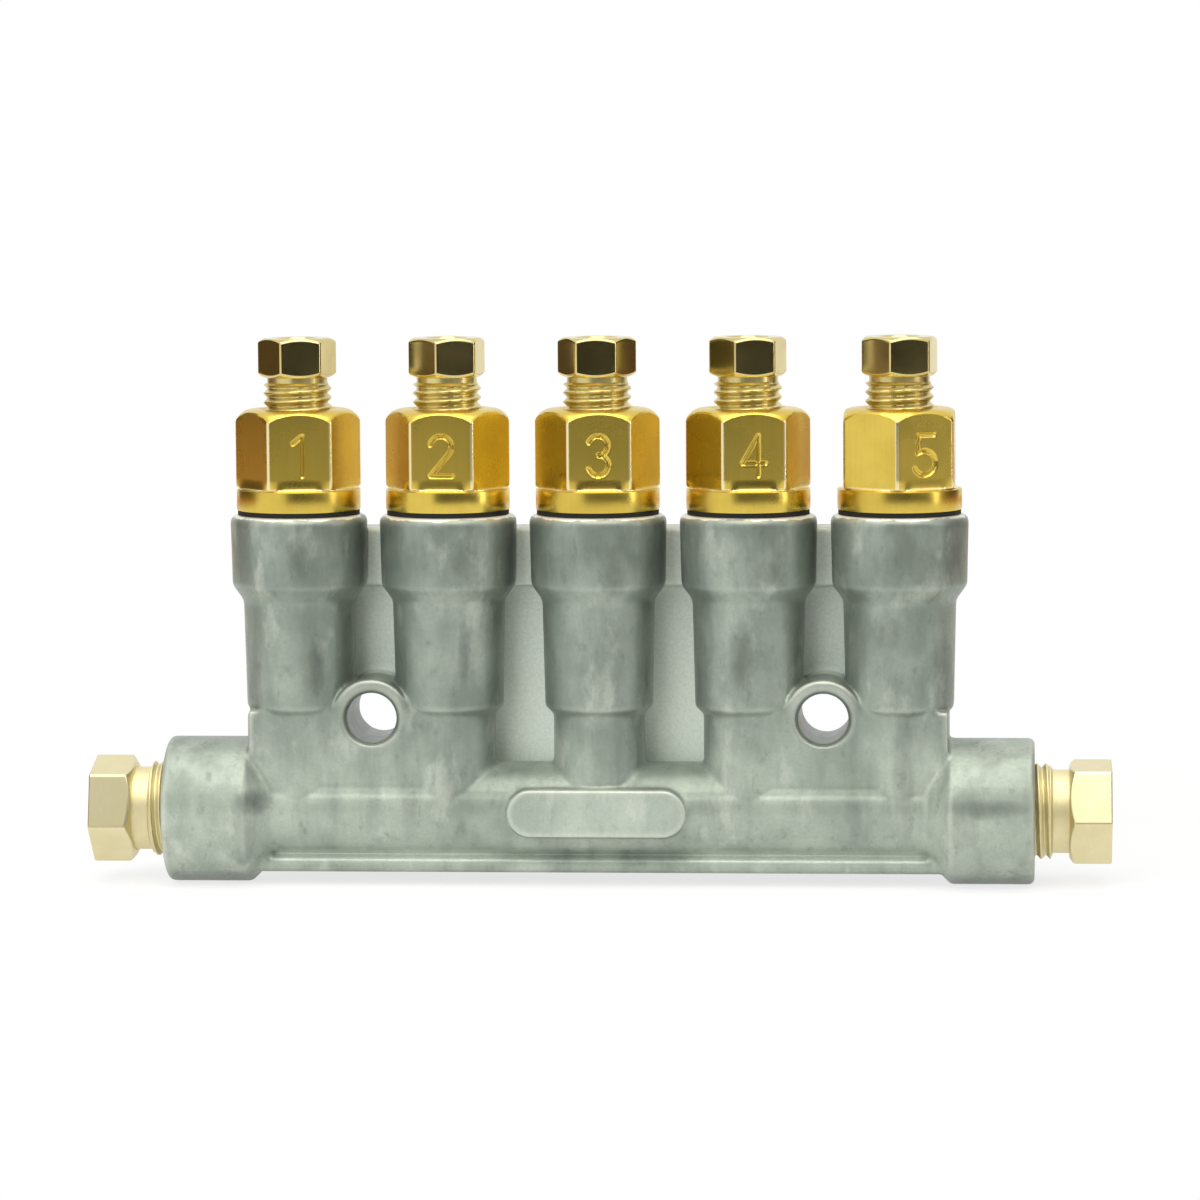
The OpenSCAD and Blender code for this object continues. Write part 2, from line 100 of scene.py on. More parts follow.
def on_end(side):
    """Turns a shape drawn about +Z so that it points out of one end of the gallery."""
    return Matrix.Translation(gallery) @ Matrix.Rotation(side * math.pi / 2, 4, "Y")


print("gallery axis at", [round(v / MM, 2) for v in gallery])

# %% [markdown]
# ## The camera
# The block is seen from the front, a little from above and a little from the right, through a long lens.
# The camera comes first, because everything after it is judged in its frame.

# %% Camera
AZIMUTH, ELEVATION, ROLL = math.radians(4.5), math.radians(5.6), math.radians(-0.4)
DISTANCE = 0.6
FRAME_WIDTH = 139.65 * MM
SENSOR = 36.0
aim = Vector((0.17 * MM, gallery.y, 13.39 * MM))
toward = Vector((math.sin(AZIMUTH) * math.cos(ELEVATION),
                 -math.cos(AZIMUTH) * math.cos(ELEVATION), math.sin(ELEVATION)))
camera_data = bpy.data.cameras.new("studio_camera")
camera_data.sensor_width = SENSOR
camera_data.lens = SENSOR * DISTANCE / FRAME_WIDTH
camera_data.clip_start = 0.01
camera = bpy.data.objects.new("studio_camera", camera_data)
scene.collection.objects.link(camera)
camera.location = aim + DISTANCE * toward
camera.rotation_euler = ((-toward).to_track_quat("-Z", "Y") @ Quaternion((0, 0, 1), ROLL)).to_euler()
scene.camera = camera
bpy.context.view_layer.update()


def seen_at(point, pixels=1200):
    """Pixel of a square picture at which the camera sees a point."""
    local = camera.matrix_world.inverted() @ Vector(point)
    scale = camera_data.lens / SENSOR * pixels / -local.z
    return round(pixels / 2 + local.x * scale, 1), round(pixels / 2 - local.y * scale, 1)


for i in outlet_numbers:
    low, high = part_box(f"outlet_nut_{i}")
    print("outlet nut", i, "top at pixel", seen_at((outlet_x[i], gallery.y, high[2])))
for name in ("inlet_nut_left", "inlet_nut_right", "block"):
    low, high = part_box(name)
    print(name, seen_at((low[0], gallery.y, low[2])), seen_at((high[0], gallery.y, high[2])))

# %% [markdown]
# ## Building finishes from nodes
# Every finish here is a small node tree on Object coordinates, so that it holds still on the piece in any
# view. A few short helpers keep each tree readable: one adds a node, the others wrap the nodes used most.

# %% Node helpers
def add(tree, kind, inputs=None, **settings):
    """Adds a node, applies its settings and fills its inputs with values or links."""
    made = tree.nodes.new(kind)
    for key, value in settings.items():
        setattr(made, key, value)
    for key, value in (inputs or {}).items():
        socket = made.inputs[key]
        if isinstance(value, bpy.types.NodeSocket):
            tree.links.new(value, socket)
        else:
            socket.default_value = value
    return made


def calc(tree, operation, *values):
    return add(tree, "ShaderNodeMath", dict(enumerate(values)), operation=operation).outputs[0]


def blend_colors(tree, share, first, second, mode="MIX"):
    """Mixes two colours; share 0 keeps the first."""
    mixer = add(tree, "ShaderNodeMix", {0: share, 6: first, 7: second}, data_type="RGBA", blend_type=mode)
    return mixer.outputs[2]


def spread(tree, value, low, high, new_low=0.0, new_high=1.0):
    """Stretches the band from low to high over a new range and clamps it there."""
    keys = ("Value", "From Min", "From Max", "To Min", "To Max")
    mapper = add(tree, "ShaderNodeMapRange", dict(zip(keys, (value, low, high, new_low, new_high))))
    return mapper.outputs[0]


def speckle(tree, place, scale, stretch=(1, 1, 1), detail=3.0, roughness=0.55):
    """Noise on Object coordinates; a stretch below 1 draws it out along that axis."""
    moved = add(tree, "ShaderNodeMapping", {"Vector": place, "Scale": stretch})
    noise = add(tree, "ShaderNodeTexNoise",
                {"Vector": moved.outputs[0], "Scale": scale, "Detail": detail, "Roughness": roughness})
    return noise.outputs[0]


def attribute(tree, name):
    return add(tree, "ShaderNodeAttribute", attribute_name=name).outputs["Fac"]


def rgb(red, green, blue):
    """A colour as it is seen on a screen, from 0 to 255, made linear."""
    def linear(value):
        value /= 255
        return value / 12.92 if value <= 0.04045 else ((value + 0.055) / 1.055) ** 2.4
    return linear(red), linear(green), linear(blue), 1.0


def new_finish(name, metallic):
    """A fresh material with its shader, its output and Object coordinates."""
    material = bpy.data.materials.new(name)
    material.use_nodes = True
    tree = material.node_tree
    tree.nodes.clear()
    shader = add(tree, "ShaderNodeBsdfPrincipled", {"Metallic": metallic})
    output = add(tree, "ShaderNodeOutputMaterial")
    tree.links.new(shader.outputs[0], output.inputs["Surface"])
    place = add(tree, "ShaderNodeTexCoord").outputs["Object"]
    return material, tree, shader, place


def dress(tree, shader, color, roughness, height, relief, strength):
    """Links colour, roughness and a bump of a given relief to the shader."""
    bump = add(tree, "ShaderNodeBump", {"Height": height, "Distance": relief, "Strength": strength})
    tree.links.new(color, shader.inputs["Base Color"])
    tree.links.new(roughness, shader.inputs["Roughness"])
    tree.links.new(bump.outputs[0], shader.inputs["Normal"])


print("node helpers ready")

# %% [markdown]
# ## Dark patches on the casting
# Some places on the front of the casting are darker than the rest. They could be painted on an image, but a
# short list of patches is easier to move: each has a middle, a half size and a depth, in mm as seen from the
# front, and noise frays its rim. Only the front half of the casting takes them.

# %% Dark patches
DARK_PATCHES = (((-39.7, 1.8), (2.0, 2.0), 0.9), ((45.3, 1.3), (5.5, 1.3), 0.6),
          ((-34.0, 30.2), (1.8, 3.2), 0.55), ((-32.4, 17.6), (1.0, 4.6), 0.75),
          ((-15.2, 18.7), (0.9, 4.6), 0.7), ((-14.8, 30.0), (1.5, 3.0), 0.55),
          ((16.9, 19.0), (1.8, 5.0), 0.7), ((2.6, 27.6), (1.6, 2.4), 0.5),
          ((20.2, 28.6), (2.2, 1.6), 0.45), ((33.5, 21.5), (2.0, 3.4), 0.45))


def product(tree, first, *others):
    """Multiplies masks with one another."""
    for other in others:
        first = calc(tree, "MULTIPLY", first, other)
    return first


def dark_patch_mask(tree, place):
    x, y, z = add(tree, "ShaderNodeSeparateXYZ", {0: place}).outputs
    wander = calc(tree, "MULTIPLY", speckle(tree, place, 380, detail=5, roughness=0.65), 1.6)
    total = None
    for (middle_x, middle_z), (half_x, half_z), depth in DARK_PATCHES:
        across = calc(tree, "DIVIDE", calc(tree, "SUBTRACT", x, middle_x * MM), half_x * MM)
        along = calc(tree, "DIVIDE", calc(tree, "SUBTRACT", z, gallery.z + middle_z * MM), half_z * MM)
        span = calc(tree, "ADD", product(tree, across, across), product(tree, along, along))
        patch = spread(tree, calc(tree, "ADD", span, wander), 1.7, 0.5, 0.0, depth)
        total = patch if total is None else calc(tree, "MAXIMUM", total, patch)
    return product(tree, total, spread(tree, y, gallery.y + 1 * MM, gallery.y - 1 * MM))


print("stains:", len(DARK_PATCHES))

# %% [markdown]
# ## Zones of the casting
# A die casting isn't the same all over. The columns are sooty, most of all at their wide cups, and their
# flanks, which face sideways, get painted shade. The web deep between the columns, the gutter over the
# bottom rail and, less so, the raised pad get painted light, a paler tone that stands in for light they
# don't get, and a band along the bottom gets painted shade. Convex edges are paled by wear and by a painted
# highlight, less so along the bottom. Each zone is a product of soft steps along the axes.

# %% Zones
def band(tree, value, base, start, end, low=0.0, high=1.0):
    """A soft step between two distances in mm from a base line."""
    return spread(tree, value, base + start * MM, base + end * MM, low, high)


def casting_zones(tree, place):
    x, y, z = add(tree, "ShaderNodeSeparateXYZ", {0: place}).outputs
    aside = calc(tree, "ABSOLUTE", x)
    level = calc(tree, "ABSOLUTE", calc(tree, "SUBTRACT", z, gallery.z))
    flank = attribute(tree, "flank")
    # Painted light: the web, the gutter over the rail and the pad are lifted toward white, in place of light
    # their recesses and flats don't get.
    web = product(tree, band(tree, y, 0, -7.0, -5.4), band(tree, y, 0, -0.8, -2.5),
                  spread(tree, flank, 0.0, 0.5, 1.0, 0.0), band(tree, z, gallery.z, 3, 5))
    gutter = product(tree, band(tree, z, gallery.z, -4.1, -4.8, 0.0, 0.45),
                     band(tree, z, gallery.z, -6.2, -5.3),
                     band(tree, aside, 0, 38.5, 37), band(tree, aside, 0, 9, 13))
    pad = product(tree, band(tree, aside, 0, 10.6, 10.2, 0.0, 0.2), band(tree, level, 0, 3.6, 3.3),
                  band(tree, y, gallery.y, -5.4, -5.8))
    smoke = spread(tree, speckle(tree, place, 190, (1, 1, 0.5), detail=4, roughness=0.6), 0.44, 0.62)
    column = band(tree, z, gallery.z, 6, 12)
    cup = band(tree, z, gallery.z, 25.5, 30, 0.24, 0.46)
    # The flank term paints shade on the sideways faces of the columns; the cup and smoke terms are soot.
    soot_and_flank_shade = calc(tree, "MULTIPLY_ADD", cup, spread(tree, smoke, 0.0, 1.0, 0.55, 1.45),
                product(tree, flank, 0.22))
    return {"height": z, "column": column, "web": web,
            "painted_light": calc(tree, "MAXIMUM", calc(tree, "MAXIMUM", web, gutter), pad),
            "soot_and_flank_shade": product(tree, soot_and_flank_shade, column, band(tree, y, 0, -0.3, -1.2, 0.2, 1.0)),
            # The painted light fades a little below the cups.
            "painted_light_fade": band(tree, z, gallery.z, 24, 28, 0.9, 1.0),
            # Painted shade under the bosses and the rail, over their lowest few mm.
            "under": band(tree, z, gallery.z, -6.5, -8.2, 0.0, 0.65),
            # Convex edges are paled partly by wear and partly by a painted highlight, less so along the
            # bottom.
            "edge_wear_and_highlight": band(tree, z, gallery.z, -7.2, -4.5, 0.15, 0.45)}


print("zone helpers ready")

# %% [markdown]
# ## Die-cast metal
# The manifold is left as it came out of the mould: satin grey with a green cast, darker blotches and runs
# where the metal chilled, edges paled by wear and by a painted highlight, and inside corners darkened by
# dirt and painted shade. Noise gives the blotches, noise drawn out along Z gives the runs, small pale spots
# of noise are painted glints, and two attributes of the mesh, worked out later from its curvature, say where
# edges and corners are. The rims of the columns were faced on a lathe, so a ragged bright band follows
# them, and it also paints the highlight on their rounded edge. The finish is a stack of such layers, each
# mixed over the ones before.

# %% Cast metal
RIM_TOP = 34.7


def cast_metal_finish():
    material, tree, shader, place = new_finish("cast_metal", 0.55)
    zone = casting_zones(tree, place)
    blotch = spread(tree, speckle(tree, place, 110, detail=4), 0.36, 0.66)
    runs = spread(tree, speckle(tree, place, 330, (1, 1, 0.22), detail=4), 0.48, 0.70)
    scuff = spread(tree, speckle(tree, place, 700, (1, 1, 0.6), detail=5, roughness=0.65), 0.57, 0.72)
    # Painted glints: small pale spots of noise that stand in for light caught by the skin.
    painted_glints = spread(tree, speckle(tree, place, 240, (1, 1, 0.5), detail=5, roughness=0.6), 0.57, 0.68)
    grain = speckle(tree, place, 2600, detail=5, roughness=0.7)
    # The ragged cream band at each column top is partly the faced rim and partly a painted highlight on its
    # rounded edge.
    ragged = calc(tree, "MULTIPLY_ADD", speckle(tree, place, 420, detail=4), 1.0 * MM, zone["height"])
    rim = band(tree, ragged, gallery.z, RIM_TOP + 0.18, RIM_TOP + 0.3)
    # Inside corners darken with dirt and painted shade, less where the painted light lies.
    corners = product(tree, attribute(tree, "nook"), spread(tree, zone["painted_light"], 0.0, 0.6, 0.4, 0.0))
    layers = ((zone["soot_and_flank_shade"], (92, 101, 93)), (product(tree, runs, 0.42), (92, 100, 93)),
              (product(tree, painted_glints, 0.22), (224, 227, 216)), (product(tree, scuff, 0.4), (84, 92, 85)),
              (dark_patch_mask(tree, place), (66, 74, 68)),
              # Painted light on the web, gutter and pad, then painted shade along the bottom.
              (product(tree, zone["painted_light"], zone["painted_light_fade"]), (228, 238, 226)), (zone["under"], (64, 71, 65)),
              (spread(tree, grain, 0.3, 0.7, 0.0, 0.25), (112, 120, 113)),
              (product(tree, attribute(tree, "edge"), zone["edge_wear_and_highlight"]), (236, 236, 224)),
              (corners, (72, 78, 70)), (product(tree, rim, 0.75), (240, 236, 222)))
    color = blend_colors(tree, blotch, rgb(134, 144, 133), rgb(166, 175, 163))
    for share, tone in layers:
        color = blend_colors(tree, share, color, rgb(*tone))
    # The web is also less metallic, so it reflects less of the dark cards and looks lighter.
    bare = product(tree, spread(tree, zone["column"], 0.0, 1.0, 0.38, 0.55),
                   spread(tree, zone["web"], 0.0, 1.0, 1.0, 0.1))
    tree.links.new(bare, shader.inputs["Metallic"])
    dress(tree, shader, color, spread(tree, grain, 0.3, 0.7, 0.30, 0.44), grain, 0.00006, 0.35)
    return material


cast_metal = cast_metal_finish()
print("finish", cast_metal.name, "with", len(cast_metal.node_tree.nodes), "nodes")

# %% [markdown]
# ## Brass
# All the fittings are free-cutting brass, turned and milled from bar. They differ in tone: the valves are
# golden, the outlet nuts browner with handling, the inlet nuts pale and bright. One recipe serves all of
# them: a base tone, a tarnish that follows blotches, and fine marks of the drawn bar along Z. What a lathe
# tool has cut is duller than the drawn flats, so an attribute of the mesh raises the roughness there, and
# another one pales the hexagon corners and the fillet at its foot, partly with wear and partly as a
# painted highlight.

# %% Brass finishes
def brass_finish(name, bright, tarnish, amount, roughness):
    material, tree, shader, place = new_finish(name, 1.0)
    cloud = spread(tree, speckle(tree, place, 170, detail=3), 0.36, 0.7)
    marks = speckle(tree, place, 3000, (1, 1, 0.04), detail=2)
    color = blend_colors(tree, product(tree, cloud, amount), bright, tarnish)
    color = blend_colors(tree, spread(tree, marks, 0.35, 0.75, 0.0, 0.12), color, tarnish)
    # Marked corners and fillets turn paler: partly wear, partly a painted highlight.
    color = blend_colors(tree, product(tree, attribute(tree, "wear_and_highlight"), 0.7), color, rgb(255, 244, 200))
    satin = calc(tree, "MULTIPLY_ADD", attribute(tree, "turned"), 0.17, roughness)
    gloss = calc(tree, "ADD", satin, spread(tree, cloud, 0.0, 1.0, 0.0, 0.06))
    dress(tree, shader, color, gloss, marks, 0.00001, 0.08)
    return material


valve_brass = brass_finish("valve_brass", rgb(228, 200, 92), rgb(184, 148, 50), 0.3, 0.25)
nut_brass = brass_finish("nut_brass", rgb(224, 208, 142), rgb(160, 138, 78), 0.3, 0.11)
inlet_brass = brass_finish("inlet_brass", rgb(232, 222, 180), rgb(206, 190, 136), 0.35, 0.34)
inner_brass = brass_finish("inner_brass", rgb(218, 188, 116), rgb(150, 116, 60), 0.4, 0.30)
print("brass finishes:", valve_brass.name, nut_brass.name, inlet_brass.name, inner_brass.name)

# %% [markdown]
# ## Spring wire and rubber
# The return springs are drawn steel wire and the seals are black rubber. Both are small, so a little
# grain in the roughness is enough.

# %% Steel and rubber
def plain_finish(name, metallic, dark, light, scale, low_rough, high_rough, relief):
    material, tree, shader, place = new_finish(name, metallic)
    grain = speckle(tree, place, scale, detail=4)
    color = blend_colors(tree, spread(tree, grain, 0.3, 0.7), dark, light)
    dress(tree, shader, color, spread(tree, grain, 0.3, 0.7, low_rough, high_rough), grain, relief, 0.3)
    return material


spring_steel = plain_finish("spring_steel", 1.0, rgb(128, 130, 134), rgb(178, 180, 184),
                            scale=2400, low_rough=0.25, high_rough=0.4, relief=0.00001)
black_rubber = plain_finish("black_rubber", 0.0, rgb(6, 6, 6), rgb(16, 15, 15),
                            scale=1800, low_rough=0.7, high_rough=0.85, relief=0.00003)
print("finishes", spring_steel.name, black_rubber.name)

# %% [markdown]
# ## From objects to plain meshes
# The export wants plain meshes with no live modifiers. So a shape that modifiers or node trees finish is
# evaluated once and replaced by its result. A mesh can also carry values for its finish, point by point:
# such an attribute is how a finish learns what only the shape knows.

# %% Mesh helpers
def evaluated_mesh(obj):
    """Turns an object with its modifiers into a plain mesh and clears the modifiers."""
    bpy.context.view_layer.update()
    graph = bpy.context.evaluated_depsgraph_get()
    mesh = bpy.data.meshes.new_from_object(
        obj.evaluated_get(graph), preserve_all_data_layers=True, depsgraph=graph)
    obj.modifiers.clear()
    old = obj.data
    obj.data = mesh
    bpy.data.meshes.remove(old)
    return mesh


def new_piece(name, mesh, material):
    obj = bpy.data.objects.new(name, mesh)
    scene.collection.objects.link(obj)
    mesh.materials.clear()
    mesh.materials.append(material)
    return obj


def mark(obj, name, values):
    """Gives every point of a shape a value that its finish can read."""
    layer = obj.data.attributes.new(name, "FLOAT", "POINT")
    layer.data.foreach_set("value", np.asarray(values, np.float32).ravel())


print("mesh helpers ready")

# %% [markdown]
# ## The casting
# The solid has crisp edges, but metal never leaves a die like that: every corner has a radius. Rounding
# some three hundred edges one by one would take long, so a copy of the solid is remeshed in fine even
# squares and relaxed, which rounds all edges alike and fills each inside corner. The change of height
# against the neighbours then gives the curvature, and with it the edges, paled by wear and a painted
# highlight, and the corners, darkened by dirt and painted shade.

# %% Casting
VOXEL = 0.23 * MM
RELAX_PASSES = 7
CASTING_TRIANGLES = 180_000
PANEL, PANEL_SUNK, FOOT_R, GALLERY_R = 5.0, 0.3, 5.3, 5.65


def relaxed(points, edges, passes):
    """Moves every point half of the way to the middle of its neighbours, a few times over."""
    count = np.bincount(edges.ravel(), minlength=len(points))[:, None]
    for _ in range(passes):
        total = np.zeros_like(points)
        for axis in range(3):
            total[:, axis] = (np.bincount(edges[:, 0], points[edges[:, 1], axis], len(points))
                              + np.bincount(edges[:, 1], points[edges[:, 0], axis], len(points)))
        points = points + 0.5 * (total / count - points)
    return points


def sink_panels(points, normals):
    """Lets the flat panels below the mounting holes fall back between the round feet and the gallery."""
    x, y, z = (points - np.array(gallery)).T / MM
    column = np.min([np.abs(x - outlet_x[i] / MM) for i in outlet_numbers], axis=0)
    depth = PANEL - PANEL_SUNK * np.clip((9.5 - z) / 3, 0, 1)
    depth = np.maximum(depth, np.sqrt(np.clip(FOOT_R ** 2 - column ** 2, 0, None)))
    depth = np.maximum(depth, np.sqrt(np.clip(GALLERY_R ** 2 - z ** 2, 0, None)))
    panel = (np.abs(y + PANEL) < 0.15) & (normals[:, 1] < -0.9) & (z > 0) & (z < 9.5) & (np.abs(x) < 37)
    points[panel, 1] = gallery.y - np.minimum(depth, PANEL)[panel] * MM
    return int(panel.sum())


def soft_casting(node):
    welded = bmesh.new()
    welded.from_mesh(frame["nodes"][node].data)
    bmesh.ops.remove_doubles(welded, verts=welded.verts, dist=1e-6)
    mesh = bpy.data.meshes.new("casting")
    welded.to_mesh(mesh)
    welded.free()
    obj = new_piece("casting", mesh, cast_metal)
    remesh = obj.modifiers.new("even_squares", "REMESH")
    remesh.mode = "VOXEL"
    remesh.voxel_size = VOXEL
    mesh = evaluated_mesh(obj)
    points = np.empty(len(mesh.vertices) * 3)
    mesh.vertices.foreach_get("co", points)
    edges = np.empty(len(mesh.edges) * 2, np.int32)
    mesh.edges.foreach_get("vertices", edges)
    normals = np.empty(len(mesh.vertices) * 3)
    mesh.vertices.foreach_get("normal", normals)
    points, edges = points.reshape(-1, 3), edges.reshape(-1, 2)
    print("casting:", sink_panels(points, normals.reshape(-1, 3)), "points in the sunk panels")
    points = relaxed(points, edges, RELAX_PASSES)
    mesh.vertices.foreach_set("co", points.ravel())
    mesh.update()
    mesh.vertices.foreach_get("normal", normals)
    bulge = ((points - relaxed(points, edges, 6)) * normals.reshape(-1, 3)).sum(1)
    bulge = relaxed(np.repeat(bulge[:, None], 3, 1), edges, 6)[:, 0] / VOXEL
    # Convex points become the edge mark, wear and painted highlight; concave ones the nook mark, dirt and
    # painted shade.
    for name, values in (("edge", bulge), ("nook", -bulge)):
        mark(obj, name, np.clip((values - 0.06) / 0.26, 0, 1))
    # How far each point faces sideways: the finish paints shade on the column flanks with it.
    mark(obj, "flank", np.clip((np.abs(normals[::3]) - 0.3) / 0.5, 0, 1))
    squares = len(mesh.polygons)
    thin = obj.modifiers.new("fewer_faces", "DECIMATE")
    thin.ratio = min(1.0, CASTING_TRIANGLES / (2 * squares))
    mesh = evaluated_mesh(obj)
    mesh.polygons.foreach_set("use_smooth", np.ones(len(mesh.polygons), bool))
    print("casting:", squares, "squares relaxed,", len(mesh.polygons), "faces kept, bulge",
          [round(float(v), 3) for v in np.percentile(bulge, (1, 10, 50, 90, 99))])
    return obj


casting = soft_casting("block")
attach(casting, "manifold")
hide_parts("block")

# %% [markdown]
# ## Turned and milled shapes
# A valve or a nut is round, apart from its hexagon. Such a shape is a stack of rings: each ring gives a
# radius and a height at every angle, and a skin joins ring to ring until the last meets the first. The
# angles are chosen once per piece so that each corner of the hexagon gets its own small round.

# %% Rings
FLAT_STEPS = 9
CORNER_BENDS = (-20, 0, 20)


def hexagon(width, corner, turn, fine=0):
    """Angles and radii round a hexagon with small corner rounds; at turn 0 a flat faces -Y.

    With fine, that flat gets so many columns of points, close enough to take an engraving."""
    apothem = width / 2
    reach = math.atan((apothem - corner) * math.tan(math.pi / 6) / apothem)
    start = math.radians(turn) - math.pi / 2
    around, radii = [], []
    for side in range(6):
        middle = np.linspace(-0.8, 0.8, fine if fine and side == 0 else FLAT_STEPS)
        steps = np.concatenate(([-1, -0.94], middle, [0.94, 1])) * reach
        around += list(steps + start + side * math.pi / 3)
        radii += list(apothem / np.cos(steps))
        for bend in np.radians(CORNER_BENDS):
            along = (apothem - corner) / math.cos(math.pi / 6) + corner * math.cos(bend)
            beside = math.atan2(corner * math.sin(bend), along)
            around.append(math.pi / 6 + beside + start + side * math.pi / 3)
            radii.append(math.hypot(along, corner * math.sin(bend)))
    return np.array(around), np.array(radii)


def softened(profile):
    """Rounds the corners of an open line of (radius, height, round) points."""
    line = []
    for k, (radius, height, rounding) in enumerate(profile):
        here = np.array((radius, height))
        if not rounding or k in (0, len(profile) - 1):
            line.append(here)
            continue
        before, after = (np.array(profile[n][:2]) - here for n in (k - 1, k + 1))
        first = here + before / np.linalg.norm(before) * rounding
        last = here + after / np.linalg.norm(after) * rounding
        line += [first, 0.25 * first + 0.5 * here + 0.25 * last, last]
    return line


def skin(name, around, rings, material):
    """Joins rings of (radii, heights) into one closed skin about +Z."""
    count = len(around)
    radii = np.array([np.broadcast_to(ring[0], count) for ring in rings], float)
    heights = np.array([np.broadcast_to(ring[1], count) for ring in rings], float)
    points = np.stack((radii * np.cos(around), radii * np.sin(around), heights), -1).reshape(-1, 3)
    faces = []
    for row in range(len(rings)):
        lower, upper = row * count, (row + 1) % len(rings) * count
        for k in range(count):
            n = (k + 1) % count
            faces.append((lower + k, lower + n, upper + n, upper + k))
    mesh = bpy.data.meshes.new(name)
    mesh.from_pydata(points.tolist(), [], faces)
    shape = bmesh.new()
    shape.from_mesh(mesh)
    bmesh.ops.recalc_face_normals(shape, faces=shape.faces)
    shape.to_mesh(mesh)
    shape.free()
    return new_piece(name, mesh, material)


def settle(obj, place, sharp=28):
    """Puts the shape in its place in the mesh and shades it smooth up to its sharp edges."""
    mesh = obj.data
    mesh.transform(place)
    mesh.shade_smooth()
    mesh.set_sharp_from_angle(angle=math.radians(sharp))
    mesh.update()


print("ring helpers ready")

# %% [markdown]
# ## Ends of a hexagon
# Where a lathe tool turns the end of a hexagon bar, it breaks the six corners and leaves curved lines on
# the flats. The height of each ring follows from its radius, as on the real piece, so the curves come by
# themselves. The edges get a small round, which is what draws the thin bright lines along them.

# %% Hexagon ends
CORNER_ROUND, EDGE_ROUND = 0.5, 0.13
SHOULDER = (1, 0.88, 0.75, 0.6, 0.4, 0.2)


def hexagon_end(radii, level, toward, flat, angle, bow=1.0):
    """Rings from the flats to one end face, toward +1 or -1; with a flat radius the end is chamfered.

    A bow above 1 turns the straight chamfer into a rounded shoulder."""
    if flat is None:
        return [(radii, level - toward * 2 * EDGE_ROUND), (radii, level - toward * EDGE_ROUND),
                (radii - EDGE_ROUND, level)]
    full = radii.max() - flat
    height = full * math.tan(math.radians(angle))
    shoulder = [flat + (radii - EDGE_ROUND - flat) * share for share in SHOULDER]
    rim = level - toward * height * ((radii - flat) / full) ** bow
    return ([(radii, rim - toward * 2 * EDGE_ROUND), (radii, rim - toward * EDGE_ROUND)]
            + [(ring, level - toward * height * ((ring - flat) / full) ** bow) for ring in shoulder])


print("each chamfer has", len(SHOULDER), "rings")

# %% [markdown]
# ## Numerals
# A numeral engraved in one flat of each valve tells the outlets apart. It could be cut out of the mesh,
# but such cuts leave ragged faces. So it is a line of strokes, in mm about the middle of the flat, and the
# rings of that flat dip where they pass it.

# %% Numerals
NUMERAL_HEIGHT, NUMERAL_DEPTH, STROKE, STROKE_WALL = 41.8, 0.2, 0.28, 0.17


def arc(x, z, radius, start, end):
    turn = np.radians(np.linspace(start, end, 13))
    return list(zip(x + radius * np.cos(turn), z + radius * np.sin(turn)))


NUMERALS = {1: [(-0.75, 1.45), (0.3, 2.3), (0.3, -2.3)],
            2: arc(0, 1.05, 1.25, 170, -35) + [(-1.25, -2.3), (1.3, -2.3)],
            3: arc(-0.1, 1.15, 1.15, 160, -85) + arc(-0.1, -1.1, 1.2, 88, -160),
            4: [(0.5, -2.3), (0.5, 2.3), (-1.35, -0.9), (1.3, -0.9)],
            5: [(1.1, 2.3), (-0.85, 2.3), (-1.0, 0.25)] + arc(-0.1, -0.9, 1.4, 125, -155)}


def groove(line, x, z):
    """Depth of a groove with sloping walls that follows a line over the flat."""
    nearest = np.full(np.shape(x), np.inf)
    for (x0, z0), (x1, z1) in zip(line, line[1:]):
        along = ((x - x0) * (x1 - x0) + (z - z0) * (z1 - z0)) / ((x1 - x0) ** 2 + (z1 - z0) ** 2)
        along = np.clip(along, 0, 1)
        nearest = np.minimum(nearest, np.hypot(x - x0 - along * (x1 - x0), z - z0 - along * (z1 - z0)))
    return NUMERAL_DEPTH * np.clip((STROKE - nearest) / STROKE_WALL, 0, 1)


def numeral_rings(i, around, radii, turn):
    """Rings across one flat that dip wherever the numeral's groove runs."""
    away = around - (math.radians(turn) - math.pi / 2)
    across = np.where(np.cos(away) > 0.5, radii * np.sin(away), 99)
    levels = np.arange(-2.7, 2.71, 0.09)
    return [(radii - groove(NUMERALS[i], across, level) / np.cos(away), NUMERAL_HEIGHT + level)
            for level in levels]


print("numerals:", list(NUMERALS))

# %% [markdown]
# ## Metering valves
# Each valve is milled from hexagon bar. A round collar under the hexagon presses the seal onto the
# column, a turned shoulder breaks the six upper corners, and the socket on top takes the outlet nut. A
# valve stops wherever its seal is tight, so the hexagons in the row don't line up.

# %% Valve bodies
VALVE_TURNS = (9, -1, 6, 9, 29)
COLLAR = (35.2, 37.8, 7.2)
VALVE_HEX, VALVE_TOP, VALVE_FLAT, VALVE_CHAMFER = 12.7, 47.0, 4.9, 29
VALVE_BOW, FILLET = 2.8, 0.3


